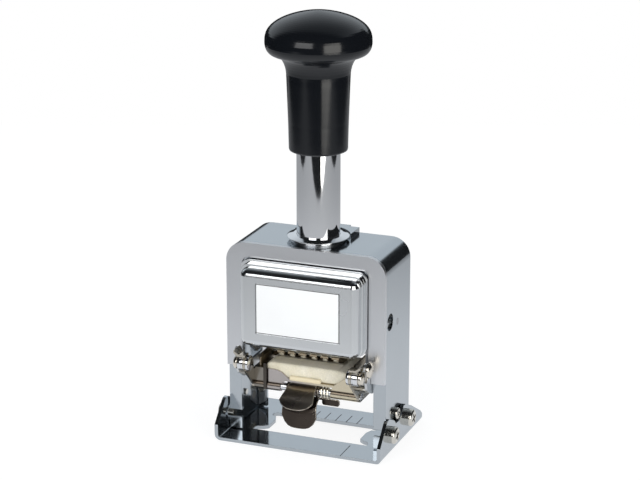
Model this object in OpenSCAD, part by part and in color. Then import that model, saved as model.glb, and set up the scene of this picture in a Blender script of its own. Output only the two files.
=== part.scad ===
// Desk numbering machine: a plunger case with six number wheels slides in a chromed arch frame,
// and the felt ink pad under the wheels swings forward out of the way as the knob is pressed.
// Origin: where the plunger's axis meets the underside of the base. Front is -Y, millimetres.

/* [Frame] */
// Width over the arch's side walls
frame_w = 60; // [56:0.5:70]
// Room between the wheels and the arch's front and back
wheel_room = 4.75; // [4.2:0.05:6]
// Height of the arch's top above the table
frame_h = 73.3; // [72:0.1:78]
// Wall of the arch
frame_wall = 1.5; // [1:0.1:1.8]
// Outer radius of the arch's two top corners
frame_round = 7; // [6:0.5:9]
// Thickness of the front plate
plate_t = 1.7; // [1.2:0.1:1.9]
// Width of the front plate beside its window
side_rim = 6.1; // [5:0.1:7]
// Height of the front plate above its window
top_rim = 5.2; // [4.2:0.1:6]

/* [Base] */
// Thickness of the base sheet
base_t = 1.3; // [1:0.1:1.5]
// Bend radius of the base's ears, outside
base_bend = 1.9; // [1.6:0.1:3]
// Reach of the base in front of the arch
front_reach = 8.55; // [7:0.05:10]
// Reach of the ears behind the arch
back_reach = 10.5; // [8:0.1:12]
// Height of the ears' front lobes
ear_h = 13.9; // [13.2:0.1:16]
// Radius of the base screws' heads
base_head_r = 3.1; // [2.4:0.1:3.4]
// Height of the base screws' heads
base_head_h = 2.5; // [1.5:0.1:3]

/* [Plunger] */
// Travel of the plunger
stroke = 28; // [24:0.5:28]
// Radius of the chromed tube
tube_r = 7.75; // [7:0.05:8]
// Wall of the tube
tube_wall = 1.1; // [0.8:0.1:1.4]
// Largest radius of the knob
knob_r = 18.7; // [15:0.1:22]
// Height of the knob
knob_h = 49.4; // [44:0.1:56]
// Radius of the knob's grip at its lower end
grip_r = 10.4; // [9.6:0.1:12]
// Gap between the knob and the collar when the knob is down
knob_gap = 2.6; // [1:0.1:5]
// Width of the collar nut around the tube
collar_lip = 3.35; // [2.6:0.05:4]
// Height of the collar nut
collar_h = 2.35; // [2:0.05:3]

/* [Wheels] */
// Number of wheels
wheels = 6; // [4:1:6]
// Spacing of the wheels
wheel_pitch = 4.2; // [4:0.05:4.3]
// Radius over the figures
wheel_r = 8.4; // [7.8:0.1:8.4]
// Width of a wheel's rim
rim_w = 2.9; // [2.6:0.1:3]
// Figures on a wheel
figures = 10; // [8:1:12]
// Radius of the shaft
shaft_r = 2; // [1.6:0.1:2.4]
// Sideways place of the wheel stack's middle
stack_x = -1.05; // [-2:0.05:0]

/* [Cover] */
// Gap between the cover and the window's sides
cover_clear = 0.2; // [0.15:0.05:0.4]
// Reach of the cover in front of the plate
cover_out = 7.4; // [6:0.1:7.6]
// Wall of the cover
cover_wall = 1; // [0.8:0.1:1.2]
// Width of the cover's face beside the label
label_side = 6.6; // [5:0.1:8]
// Height of the cover's face above the label
label_above = 4.9; // [4:0.1:6]
// Height of the cover's face below the label
label_below = 5.85; // [5:0.05:7]

/* [Pad carriage] */
// Room between the arms and the carriage's side plates
cheek_room = 3.5; // [3:0.1:4]
// Room between the side plates and the felt pad
pad_room = 4.3; // [3.6:0.1:5]
// Depth of the felt pad
pad_d = 16.6; // [14:0.1:17]
// Thickness of the felt pad
pad_t = 4.2; // [3.6:0.1:4.8]
// Thickness of the carriage's sheet parts
sheet = 0.9; // [0.7:0.05:1]
// Radius of the tray's hinge rod
rod_r = 1.9; // [1.6:0.1:2.1]
// Height of the carriage's pivot above the felt
pivot_rise = 20.54; // [18:0.02:22]
// Height of the arms' feet
foot_h = 4; // [3.4:0.1:5]
// Width of the upper finger tab
tab_w = 14.2; // [12:0.1:16]
// Width of the lower finger tab
lever_w = 13.7; // [11:0.1:15]
// Radius of the front bosses
boss_r = 2.85; // [2.2:0.05:2.9]

/* [Hidden] */

// shared working values
$fn = 64;
over = 1;
gap = 0.3;
fit = 0.05;

// arch and window
frame_d = 2 * (wheel_r + wheel_room);
window_w = frame_w - 2 * side_rim;
window_top = frame_h - top_rim;
face_y = -frame_d / 2;
shell_y = face_y + plate_t;
back_y = frame_d / 2;
in_x = frame_w / 2 - frame_wall;
in_top = frame_h - frame_wall;
window_round = window_w / 20;
open_top = window_top + frame_wall / 3;
port_y = face_y + frame_d * 0.2068;
port_r = 3.1;

// base
base_front = frame_d / 2 + front_reach;
base_back = frame_d / 2 + back_reach;
ear_x = frame_w / 2 + base_t * 1.31;
spacer_x = ear_x - base_t;
floor_back = base_back * 0.8816;
screw_r = base_head_r / 2;
screw_z = ear_h * 0.54;
screw_ys = [face_y + frame_d * 0.095, face_y + frame_d * 0.775];
pin_head_r = base_head_r * 0.7;
pin_y = face_y + frame_d * 0.43;
pin_z = ear_h * 0.88;
bar_front = -base_front * 0.4263;
bar_back = base_back * 0.3784;
mark_w = wheel_pitch / 16;
mark_deep = base_t / 10;

// plunger and collar
wheel_z = wheel_r + stroke + gap;
collar_r = tube_r + collar_lip;
collar_top = frame_h + collar_h;
foot_z = base_t * 1.4;
knob_z = collar_top + stroke + knob_gap;
tube_low = wheel_z + wheel_r + gap;
tube_top = knob_z + knob_h * 0.6;
bore_r = tube_r - tube_wall;
bar_r = 1.1;
bar_z = tube_low + bar_r - fit;

// wheel case and its cover
cover_w = window_w - 2 * cover_clear;
cover_z = wheel_z + gap;
cover_h = window_top - gap - cover_z;
face_w = cover_w * 0.94;
face_top = cover_z + cover_h * 0.94;
label_w = face_w - 2 * label_side;
label_z = cover_z + label_below;
label_h = face_top - label_above - label_z;
case_x = cover_w / 2 - cover_wall;
case_t = cover_wall * 1.1;
case_low = wheel_z - wheel_r * 0.78;
case_top = frame_h - frame_wall * 4;
case_front = shell_y - plate_t;
case_back = back_y - frame_wall * 1.05;
cover_back = face_y + plate_t * 1.2;
cover_face = face_y - cover_out;
bore_x = shaft_r + fit;
stack_w = wheels * wheel_pitch;
ratchet_w = wheel_pitch - rim_w - gap / 2;
ratchet_r = wheel_r * 0.82;

// pad carriage
pad_top = wheel_z - wheel_r - gap;
pivot_y = port_y;
pivot_z = pad_top + pivot_rise;
pivot_r = 1.5;
arm_x = cover_w / 2 + gap;
arm_out = arm_x + sheet;
arm_clear = 0.4;
lip_x = arm_out + arm_clear;
lip_w = frame_w / 2 - lip_x;
side_out = arm_x - cheek_room;
side_x = side_out - sheet;
pad_w = 2 * (side_x - pad_room);
pad_y = face_y + plate_t * 0.8;
rod_y = pad_y + rod_r * 0.2;
rod_z = pad_top - pad_t - sheet - rod_r - gap * 2;
pad_edge = 0.3;
root_x = tab_w * 0.33;
roll_x = pad_w * 0.315;
foot_low = rod_z + rod_r * 1.05;
plate_end = foot_low + foot_h + gap;
boss_y = face_y - boss_r * 2.03;
boss_z = plate_end + boss_r * 1.33;
roller_r = boss_r * 1.07;
roller_y = face_y - roller_r - gap;
roller_z = plate_end + roller_r * 2.11;
cross_r = 1.4;
cross_y = face_y + cross_r * 1.64;
cross_z = plate_end - cross_r * 2;

// A bar along X from x0 to x1.
module x_bar(r, x0, x1) {
    translate([x0, 0, 0])
        rotate([0, 90, 0])
            cylinder(r = r, h = x1 - x0);
}

// A flat piece with a side outline in (y, z), standing from x0 to x1.
module side_piece(x0, x1) {
    translate([x0, 0, 0])
        rotate([90, 0, 90])
            linear_extrude(height = x1 - x0)
                children();
}

// A flat piece with a front outline in (x, z), lying from y0 back to y1.
module front_piece(y0, y1) {
    translate([0, y1, 0])
        rotate([90, 0, 0])
            linear_extrude(height = y1 - y0)
                children();
}

// The same piece on the right and, mirrored, on the left.
module both_sides() {
    children();
    mirror([1, 0, 0])
        children();
}

// A rectangle from (x0, y0) to (x1, y1) with corners of radius r.
module soft_box(x0, y0, x1, y1, r) {
    translate([x0 + r, y0])
        square([x1 - x0 - 2 * r, y1 - y0]);
    translate([x0, y0 + r])
        square([x1 - x0, y1 - y0 - 2 * r]);
    for (x = [x0 + r, x1 - r], y = [y0 + r, y1 - r])
        translate([x, y])
            circle(r = r);
}

// The arch's front outline: square feet, round top corners.
module arch(w, z0, z1, r) {
    translate([-w / 2, z0])
        square([w, z1 - z0 - r]);
    translate([-w / 2 + r, z0])
        square([w - 2 * r, z1 - z0]);
    for (side = [-1, 1])
        translate([side * (w / 2 - r), z1 - r])
            circle(r = r);
}

// A pan head on the +X side of x0, with a crossed recess.
module pan_head(r, h, x0) {
    difference() {
        translate([x0, 0, 0])
            rotate([0, 90, 0])
                rotate_extrude()
                    intersection() {
                        soft_box(-r, -h, r, h, h * 0.45);
                        square([r, h]);
                    }
        for (turn = [0, 90])
            rotate([turn + 20, 0, 0])
                translate([x0 + h * 0.55, -r * 0.6, -r * 0.13])
                    cube([h, r * 1.2, r * 0.26]);
    }
}

// Bent sheet arch with lips folded in at the front and back, open below.
module frame_shell() {
    color("silver")
        difference() {
            front_piece(shell_y, back_y)
                arch(frame_w, foot_z, frame_h, frame_round);
            front_piece(shell_y + frame_wall, back_y - frame_wall)
                arch(in_x * 2, -over, in_top, frame_round - frame_wall);
            front_piece(shell_y - over, back_y + over)
                arch(lip_x * 2, -over, open_top, window_round);
            translate([0, 0, in_top - over])
                cylinder(r = tube_r + gap, h = frame_wall + 2 * over);
            translate([0, port_y, pivot_z])
                x_bar(port_r, -frame_w, frame_w);
            translate([0, 0, bar_z])
                x_bar(bar_r + fit, -frame_w, frame_w);
            for (y = screw_ys)
                translate([0, y, screw_z])
                    x_bar(screw_r + fit, -frame_w, frame_w);
            translate([0, pin_y, pin_z])
                x_bar(pin_head_r / 2 + fit, -frame_w, frame_w);
        }
}

// Heavy cover plate on the arch's front, with legs that stop above the base.
module front_plate() {
    color("lightgray")
        front_piece(face_y, shell_y)
            difference() {
                arch(frame_w, plate_end, frame_h, frame_round);
                arch(window_w, plate_end - over, window_top, window_round);
            }
}

// Side outline of the base's ear: two lobes with a dip between, as shares of its size.
ear_shares = [[-0.965, 0], [-1, 0.2], [-1, 0.44], [-0.69, 0.95], [-0.64, 1], [-0.56, 1], [-0.32, 0.83]];
ear_back_shares = [[0.12, 0.97], [0.21, 0.965], [0.48, 0.76], [0.915, 0.34], [1, 0.21], [1, 0.04], [0.98, 0]];

module ear_outline() {
    front = [for (p = ear_shares) [p[0] * base_front, p[1] * ear_h]];
    dip = [[pin_y - pin_head_r * 1.6, pin_z - pin_head_r * 1.1],
        [pin_y, pin_z - pin_head_r * 1.25],
        [pin_y + pin_head_r * 1.5, pin_z - pin_head_r * 0.4]];
    back = [for (p = ear_back_shares) [p[0] * base_back, p[1] * ear_h]];
    polygon(concat(front, dip, back));
}

// Half of the base's window, on the right: the bars, the side tab and its round notch.
module window_half() {
    tab_x = pad_w * 0.58;
    leg_x = lip_x - lip_w * 0.7;
    depth = bar_back - bar_front;
    polygon([[-over, bar_front], [leg_x, bar_front], [leg_x, bar_front + depth * 0.09],
        [leg_x * 0.97, bar_front + depth * 0.17], [tab_x * 1.1, bar_front + depth * 0.2],
        [tab_x, bar_front + depth * 0.28], [tab_x, bar_front + depth * 0.62],
        [tab_x * 1.06, bar_front + depth * 0.78], [tab_x, bar_back], [-over, bar_back]]);
    translate([tab_x * 1.06, bar_back - depth * 0.13])
        circle(r = depth * 0.1);
}

// Base of one sheet: a floor with a window and ears bent up beside the arch's feet.
module base_plate() {
    color("silver")
        difference() {
            intersection() {
                front_piece(-base_front, base_back)
                    difference() {
                        soft_box(-ear_x, 0, ear_x, ear_h * 2, base_bend);
                        soft_box(-spacer_x, base_t, spacer_x, ear_h * 3, base_bend - base_t);
                    }
                side_piece(-ear_x, ear_x)
                    ear_outline();
            }
            translate([0, 0, -over])
                linear_extrude(height = base_t + 2 * over)
                    both_sides()
                        window_half();
            translate([-ear_x + base_bend, floor_back, -over])
                cube([2 * (ear_x - base_bend), base_back, base_t + 2 * over]);
            for (y = screw_ys)
                translate([0, y, screw_z])
                    x_bar(screw_r + fit, -frame_w, frame_w);
            for (i = [0 : wheels])
                translate([stack_x + (i - wheels / 2) * wheel_pitch - mark_w / 2, bar_back - over, base_t - mark_deep])
                    cube([mark_w, wheel_pitch * 1.5 + over, base_t]);
            translate([lip_x * 0.65, -base_front - over, base_t - mark_deep])
                cube([mark_w, base_front + bar_front - over, base_t]);
        }
}

// Four pan head screws that hold the ears to the arch's feet.
module base_screws() {
    color("gainsboro")
        both_sides()
            for (y = screw_ys)
                translate([0, y, screw_z]) {
                    pan_head(base_head_r, base_head_h, ear_x);
                    x_bar(screw_r, in_x, ear_x + base_head_h / 2);
                }
}

// Thin washers that fill the space between the feet and the ears.
module base_spacers() {
    color("gray")
        both_sides()
            for (y = screw_ys)
                translate([0, y, screw_z])
                    difference() {
                        x_bar(base_head_r, frame_w / 2, spacer_x);
                        x_bar(screw_r + fit, frame_w / 2 - over, spacer_x + over);
                    }
}

// Round headed pins through the feet, in the dip of the ears.
module leg_pins() {
    color("gainsboro")
        both_sides()
            translate([0, pin_y, pin_z]) {
                pan_head(pin_head_r, base_t * 1.2, frame_w / 2);
                x_bar(pin_head_r / 2, in_x - pin_head_r / 2, frame_w / 2 + base_t / 2);
            }
}

// Half profile of the collar nut, as shares of its lip and its height.
collar_shares = [[0, 0.24], [0.67, 0.24], [0.77, 0.31], [0.67, 0.38], [0.8, 0.46], [0.71, 0.53], [1, 0.6],
    [1, 0.7], [0.9, 0.76], [0.33, 1], [0, 1]];

// Collar nut on the arch's top that guides the tube: sloped flange, fine rings below.
module collar_nut() {
    color("silver")
        translate([0, 0, frame_h])
            rotate_extrude($fn = 96)
                polygon([for (p = collar_shares) [tube_r + fit + (collar_lip - fit) * p[0], collar_h * p[1]]]);
}

// Thin washer under the collar nut.
module collar_washer() {
    color("gray")
        translate([0, 0, frame_h])
            difference() {
                cylinder(r = tube_r + collar_lip * 0.54, h = collar_h * 0.24);
                translate([0, 0, -over])
                    cylinder(r = tube_r + gap / 2, h = collar_h + over);
            }
}

// Stepped bracket behind the collar, bent down over the arch's back, with the lock's guide.
lock_drop = 8.6;
lock_z = frame_h - lock_drop;
lock_w = 9;
lock_h = 4.4;

module lock_bracket() {
    bracket_w = collar_r * 1.91;
    bracket_t = collar_h * 0.8;
    leg_w = lock_w * 1.5;
    color("lightsteelblue")
        difference() {
            union() {
                translate([-bracket_w / 2, 0, frame_h])
                    cube([bracket_w, back_y, bracket_t]);
                translate([-leg_w / 2, 0, frame_h])
                    cube([leg_w, back_y + frame_wall, bracket_t]);
                translate([-leg_w / 2, back_y, lock_z - lock_h])
                    cube([leg_w, frame_wall, frame_h + bracket_t - lock_z + lock_h]);
            }
            translate([0, 0, frame_h - over])
                cylinder(r = collar_r + gap, h = bracket_t + 2 * over);
            translate([0, back_y - over, 0])
                front_piece(0, frame_wall + 2 * over)
                    soft_box(-lock_w / 2 - gap, lock_z - lock_h / 2 - gap, lock_w / 2 + gap, lock_z + lock_h / 2 + gap, lock_h / 4);
        }
}

// Push button that locks the plunger while the figures are set.
lock_stroke = 1.4;

module lock_button() {
    color("dimgray")
        union() {
            front_piece(back_y + gap, back_y + frame_wall + lock_stroke + gap)
                soft_box(-lock_w / 2, lock_z - lock_h / 2, lock_w / 2, lock_z + lock_h / 2, lock_h / 5);
            front_piece(back_y + gap, back_y + frame_wall / 2)
                soft_box(-lock_w / 2, lock_z - lock_h / 2, lock_w / 2, lock_z + lock_h / 2, lock_h / 5);
        }
}

// Bar across the arch that the return spring stands on.
module spring_bar() {
    color("gray")
        translate([0, 0, bar_z])
            x_bar(bar_r, -frame_w / 2, frame_w / 2);
}

// Return spring inside the tube, shown as its outer sleeve.
module return_spring() {
    color("dimgray")
        translate([0, 0, bar_z + bar_r])
            difference() {
                cylinder(r = bore_r - gap, h = tube_top - bar_z - bar_r - tube_wall * 2);
                translate([0, 0, -over])
                    cylinder(r = bore_r - gap - tube_wall, h = tube_top);
            }
}

// Small cam plates on the arch's rear lips, low inside the legs.
cam_h = 9;

module cam_plates() {
    color("gainsboro")
        both_sides()
            front_piece(back_y - frame_wall - sheet, back_y - frame_wall)
                polygon([[lip_x + gap, cam_h * 0.45], [in_x - gap, cam_h * 0.25], [in_x - gap, cam_h * 1.7], [lip_x + gap, cam_h * 1.7]]);
}

module cam_plate_screws() {
    color("gray")
        both_sides()
            translate([(lip_x + in_x) / 2, back_y - frame_wall - sheet, cam_h])
                rotate([90, 0, 0])
                    difference() {
                        cylinder(r = sheet * 1.3, h = sheet);
                        translate([-sheet * 2, -sheet / 6, sheet / 2])
                            cube([sheet * 4, sheet / 3, sheet]);
                    }
}

// Half profile of the knob's dome and grip, as shares of its radius and height from its lower end.
knob_shares = [[0.94, 0], [0.985, 0.004], [1, 0.013], [1.004, 0.05], [1.02, 0.2], [1.045, 0.36], [1.07, 0.5]];

module knob() {
    dome_z = knob_h * 0.781;
    rim_z = knob_h * 0.696;
    neck_z = knob_h * 0.534;
    rim_r = knob_r * 0.855;
    neck_r = grip_r * 1.0755;
    grip = [for (p = knob_shares) [p[0] * grip_r, p[1] * knob_h]];
    flare = [for (i = [0 : 10]) let (a = i * 90 / 10)
        [neck_r + (rim_r - neck_r) * (1 - cos(a)), neck_z + (rim_z - neck_z) * sin(a)]];
    under = [for (i = [1 : 8]) let (a = -90 + i * 90 / 8)
        [rim_r + (knob_r - rim_r) * cos(a), dome_z + (dome_z - rim_z) * sin(a)]];
    top = [for (i = [1 : 24]) let (a = i * 90 / 24)
        [knob_r * pow(cos(a), 1.305), dome_z + (knob_h - dome_z) * pow(sin(a), 0.756)]];
    color([0.06, 0.06, 0.07])
        translate([0, 0, knob_z])
            difference() {
                rotate_extrude($fn = 96)
                    polygon(concat([[0, 0]], grip, flare, under, [for (p = top) [max(p[0], 0), p[1]]]));
                translate([0, 0, -over])
                    cylinder(r = tube_r, h = tube_top - knob_z + over);
            }
}

// Chromed tube, slotted from its lower end for the spring's bar.
module plunger_tube() {
    slot_h = bar_z - tube_low + stroke + bar_r + fit * 2;
    color("silver")
        difference() {
            translate([0, 0, tube_low])
                cylinder(r = tube_r, h = tube_top - tube_low);
            translate([0, 0, tube_low - over])
                cylinder(r = bore_r, h = tube_top - tube_low + 2 * over);
            translate([-tube_r - over, -bar_r - gap, tube_low - over])
                cube([2 * (tube_r + over), 2 * (bar_r + gap), slot_h + over]);
        }
}

// Plug in the tube's top that the spring pushes against.
module tube_plug() {
    color("gray")
        translate([0, 0, tube_top - tube_wall * 2])
            cylinder(r = bore_r, h = tube_wall * 2);
}

bridge_z = case_top - cover_wall * 3;
seat_h = tube_wall * 5;

// Plate in two halves that ties the case's sides to the tube, clear of the spring's bar.
module bridge_plate() {
    seat_r = tube_r + tube_wall * 1.6;
    color("gray")
        difference() {
            union() {
                translate([-case_x + case_t, face_y * 0.68, bridge_z])
                    cube([2 * (case_x - case_t), -face_y * 1.36, cover_wall * 2]);
                translate([0, 0, bridge_z - seat_h])
                    cylinder(r = seat_r, h = seat_h);
            }
            translate([0, 0, tube_low])
                cylinder(r = tube_r, h = frame_h);
            translate([-frame_w, -bar_r - gap, tube_low])
                cube([2 * frame_w, 2 * (bar_r + gap), frame_h]);
        }
}

// Side of the wheel case, at the right: flat sheet with the shaft's bore and a slot for the bar.
module case_side() {
    side_d = case_back - case_front;
    side_piece(case_x - case_t, case_x)
        difference() {
            polygon([[case_front + side_d * 0.14, case_low + wheel_r * 0.35], [case_front + side_d * 0.3, case_low],
                [case_back - side_d * 0.22, case_low], [case_back, case_low + wheel_r * 0.6],
                [case_back, case_top - side_d * 0.1], [case_back - side_d * 0.1, case_top],
                [case_front + side_d * 0.14, case_top]]);
            translate([-bar_r - gap, bar_z - bar_r - gap])
                square([2 * (bar_r + gap), frame_h]);
            translate([0, wheel_z])
                circle(r = shaft_r);
            translate([pivot_y, pivot_z])
                circle(r = pivot_r);
        }
}

module case_side_left() {
    color("darkgray")
        mirror([1, 0, 0])
            case_side();
}

module case_side_right() {
    color("darkgray")
        case_side();
}

// Pressed front cover: shallow steps, then a face with well rounded edges, open at the back and below.
step_shares = [1, 0.97];
step_out_shares = [0.26, 0.5];

module cover_step(i) {
    w = cover_w * step_shares[i];
    top = cover_z + cover_h * step_shares[i];
    front_piece(face_y - cover_out * step_out_shares[i], cover_back)
        soft_box(-w / 2, cover_z, w / 2, top, cover_h * 0.1);
}

module front_cover() {
    r = cover_out * 0.4;
    x = face_w / 2;
    color("silver")
        difference() {
            union() {
                for (i = [0, 1])
                    cover_step(i);
                hull() {
                    for (side = [-1, 1], z = [cover_z + r, face_top - r])
                        translate([side * (x - r), cover_face + r, z])
                            sphere(r = r, $fn = 32);
                    front_piece(cover_back - cover_wall, cover_back)
                        soft_box(-x, cover_z, x, face_top, r);
                }
            }
            front_piece(cover_face + cover_wall * 1.6, cover_back + over)
                arch(case_x * 2 - cover_wall * 3, cover_z - over, face_top - cover_wall * 1.8, r / 2);
            front_piece(face_y - cover_out * 0.2, cover_back + over)
                arch(case_x * 2, cover_z - over, face_top + cover_wall / 4, r / 2);
            front_piece(cover_face - over, cover_face + cover_wall * 0.4)
                soft_box(-label_w / 2 - gap, label_z - gap, label_w / 2 + gap, label_z + label_h + gap, gap * 2);
        }
}

// Plain label that lies in the cover's sunk panel.
module label_plate() {
    color("white")
        front_piece(cover_face + cover_wall * 0.12, cover_face + cover_wall * 0.4)
            soft_box(-label_w / 2, label_z, label_w / 2, label_z + label_h, gap);
}

// Flat back cover of the case.
module rear_cover() {
    color("silver")
        difference() {
            front_piece(case_back, case_back + cover_wall)
                arch(case_x * 2, case_low + wheel_r * 0.7, case_top - wheel_r * 0.65, window_round);
            translate([dial_x, case_back - over, dial_z])
                rotate([-90, 0, 0])
                    cylinder(r = dial_post_r, h = cover_wall + 2 * over);
        }
}

// Shaft that carries the wheels, headed at both ends.
module wheel_shaft() {
    color("gray")
        translate([0, 0, wheel_z])
            x_bar(shaft_r, -case_x, case_x);
}

// Plain sleeves on the shaft, beside the stack of wheels.
module wheel_spacers() {
    color("silver")
        translate([0, 0, wheel_z])
            difference() {
                union() {
                    x_bar(shaft_r * 1.9, -case_x + case_t, stack_x - stack_w / 2 - yoke_room);
                    x_bar(shaft_r * 1.9, stack_x + stack_w / 2 + yoke_room, case_x - case_t);
                }
                x_bar(shaft_r, -frame_w, frame_w);
            }
}

// One number wheel: raised faces for the figures and a ratchet with as many teeth beside the rim.
module number_wheel(i) {
    step = 360 / figures;
    root = wheel_r * 0.93;
    x0 = stack_x - stack_w / 2 + (i - 1) * wheel_pitch + gap / 4;
    rim = [for (k = [0 : figures - 1], p = [[-0.36, wheel_r], [0, wheel_r], [0.36, wheel_r], [0.42, root], [0.5, root], [0.58, root]])
        [p[1] * cos((k + p[0]) * step), p[1] * sin((k + p[0]) * step)]];
    teeth = [for (k = [0 : figures - 1], p = [[0, ratchet_r], [0.5, ratchet_r * 0.92], [0.96, ratchet_r * 0.84]])
        [p[1] * cos((k + p[0]) * step), p[1] * sin((k + p[0]) * step)]];
    color("burlywood")
        translate([x0, 0, wheel_z])
            rotate([0, 90, 0])
                difference() {
                    union() {
                        linear_extrude(height = rim_w)
                            polygon(rim);
                        translate([0, 0, rim_w])
                            linear_extrude(height = ratchet_w)
                                polygon(teeth);
                    }
                    translate([0, 0, -over])
                        cylinder(r = bore_x, h = wheel_pitch + 2 * over);
                }
}

module number_wheel_1() {
    number_wheel(1);
}

module number_wheel_2() {
    number_wheel(2);
}

module number_wheel_3() {
    number_wheel(3);
}

module number_wheel_4() {
    number_wheel(4);
}

module number_wheel_5() {
    number_wheel(5);
}

module number_wheel_6() {
    number_wheel(6);
}

// Comb of curved spring fingers in front of the wheels, one for each.
comb_y = face_y + plate_t * 1.45;

module retaining_comb() {
    finger_w = rim_w * 0.85;
    root_z = cover_z + wheel_r * 0.25;
    tip_z = wheel_z - wheel_r * 0.88;
    finger = [for (i = [0 : 6]) let (a = i / 6)
        [comb_y + sheet * 0.9 * sin(a * 180), root_z + (tip_z - root_z) * a]];
    color("gainsboro")
        union() {
            for (i = [0 : wheels - 1])
                translate([stack_x - stack_w / 2 + i * wheel_pitch + gap, 0, 0])
                    side_piece(0, finger_w)
                        polygon(concat(finger, [for (k = [6 : -1 : 0]) [finger[k][0] + sheet * 0.7, finger[k][1]]]));
            translate([0, comb_y, root_z])
                x_bar(sheet, -case_x + case_t, case_x - case_t);
        }
}

// Rods that hold the case's sides apart.
tie_r = 1;
tie_y = tube_r + tie_r + gap;
tie_top = bridge_z - seat_h - tie_r - gap * 3;
tie_back = max(tie_y, wheel_r + tie_r + gap);
tie_places = [[-tie_y, tie_top], [tie_y, tie_top], [tie_back, case_low + tie_r * 2]];

module tie_rods() {
    color("gray")
        for (p = tie_places)
            translate([0, p[0], p[1]])
                x_bar(tie_r, -case_x + case_t, case_x - case_t);
}

// Headed studs on the case's sides that the carriage's arms swing on.
module carriage_pivot_screws() {
    color("gainsboro")
        both_sides()
            translate([0, pivot_y, pivot_z]) {
                x_bar(pivot_r, case_x - case_t, in_x - gap * 3);
                x_bar(port_r * 0.64, arm_out + gap / 2, in_x - gap * 3);
            }
}

yoke_room = sheet + gap * 2;
yoke_reach = wheel_r * 1.19;
yoke_lean = -6;

// Two cheeks on the shaft, joined by a web behind the wheels.
module drive_yoke() {
    color("darkgray")
        for (x = [stack_x - stack_w / 2 - gap - sheet, stack_x + stack_w / 2 + gap])
            translate([0, 0, wheel_z])
                difference() {
                    side_piece(x, x + sheet)
                        union() {
                            circle(r = shaft_r * 2);
                            rotate(yoke_lean)
                                translate([0, -shaft_r * 0.6])
                                    square([yoke_reach, shaft_r * 1.2]);
                            rotate(yoke_lean)
                                translate([yoke_reach, 0])
                                    circle(r = shaft_r * 0.6);
                        }
                    x_bar(bore_x, -frame_w, frame_w);
                }
}

// Rod between the cheeks' ends.
module pawl_rod() {
    color("gainsboro")
        translate([0, yoke_reach * cos(yoke_lean), wheel_z + yoke_reach * sin(yoke_lean)])
            x_bar(shaft_r * 0.35, stack_x - stack_w / 2 - gap, stack_x + stack_w / 2 + gap);
}

// Stepped pawl on the rod, with one tooth for each ratchet.
module drive_pawl() {
    color("gray")
        translate([0, yoke_reach * cos(yoke_lean), wheel_z + yoke_reach * sin(yoke_lean)])
            difference() {
                union() {
                    x_bar(shaft_r * 0.62, stack_x - stack_w / 2 + gap, stack_x + stack_w / 2 - gap);
                    for (i = [0 : wheels - 1])
                        translate([stack_x - stack_w / 2 + i * wheel_pitch + rim_w + gap / 4 + ratchet_w * 0.15, 0, 0])
                            side_piece(0, ratchet_w * 0.6)
                                rotate(180 + yoke_lean)
                                    translate([0, -sheet / 2])
                                        square([yoke_reach - ratchet_r - gap * 3, sheet]);
                }
                x_bar(shaft_r * 0.35, -frame_w, frame_w);
            }
}

// Setting dial on the case's back, for how often a number repeats.
dial_x = case_x * 0.42;
dial_r = 5.6;
dial_z = case_low + wheel_r * 0.7 + dial_r * 1.3;
dial_h = 2.2;
dial_post_r = 1.7;

module selector_dial() {
    color("dimgray")
        translate([dial_x, case_back + cover_wall + gap / 2, dial_z])
            rotate([-90, 0, 0])
                difference() {
                    union() {
                        cylinder(r = dial_r, h = dial_h * 0.55);
                        translate([0, 0, dial_h * 0.55])
                            linear_extrude(height = dial_h * 0.45)
                                soft_box(-dial_r * 0.85, -dial_r * 0.2, dial_r * 0.85, dial_r * 0.2, dial_r * 0.15);
                    }
                    for (k = [0 : 15])
                        rotate(k * 360 / 16)
                            translate([dial_r, 0, -over])
                                cylinder(r = dial_r * 0.07, h = dial_h + 2 * over);
                    translate([0, 0, -over])
                        cylinder(r = dial_post_r + fit, h = dial_h * 0.45 + over);
                }
}

// Post that the dial turns on.
module selector_post() {
    color("gray")
        translate([dial_x, case_back - sheet, dial_z])
            rotate([-90, 0, 0])
                cylinder(r = dial_post_r, h = sheet + cover_wall + gap / 2 + dial_h * 0.35);
}

// Side outline of the right arm: from the pivot down and back, then forward under the plate and up.
module arm_outline() {
    lean = 38;
    arm_w = pivot_r * 2.1;
    knee_y = back_y - frame_d * 0.251;
    knee_z = pivot_z - (knee_y - pivot_y) / tan(lean);
    foot_top = plate_end - gap;
    union() {
        translate([pivot_y, pivot_z])
            circle(r = pivot_r * 1.9);
        translate([pivot_y, pivot_z])
            rotate(lean - 90)
                translate([0, -arm_w / 2])
                    square([(pivot_z - knee_z) / cos(lean), arm_w]);
        translate([knee_y, knee_z])
            circle(r = arm_w / 2);
        translate([knee_y - arm_w / 2, foot_low + arm_w / 2])
            square([arm_w, knee_z - foot_low - arm_w / 2]);
        polygon([[roller_y, foot_low + arm_w], [face_y + plate_t, foot_low], [knee_y, foot_low],
            [knee_y, foot_top], [face_y - gap, foot_top], [face_y - gap, roller_z], [roller_y, roller_z]]);
        translate([knee_y, foot_low + arm_w / 2])
            circle(r = arm_w / 2);
        translate([roller_y, roller_z])
            circle(r = roller_r * 0.8);
        polygon([[roller_y - roller_r * 0.8, roller_z], [roller_y, foot_low + arm_w], [roller_y, roller_z]]);
    }
}

module arm() {
    difference() {
        side_piece(arm_x, arm_out)
            arm_outline();
        translate([0, pivot_y, pivot_z])
            x_bar(pivot_r + fit, -frame_w, frame_w);
        translate([0, boss_y, boss_z])
            x_bar(boss_r * 0.91 + fit * 2, -frame_w, frame_w);
    }
}

module arm_left() {
    color("silver")
        mirror([1, 0, 0])
            arm();
}

module arm_right() {
    color("silver")
        arm();
}

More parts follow.
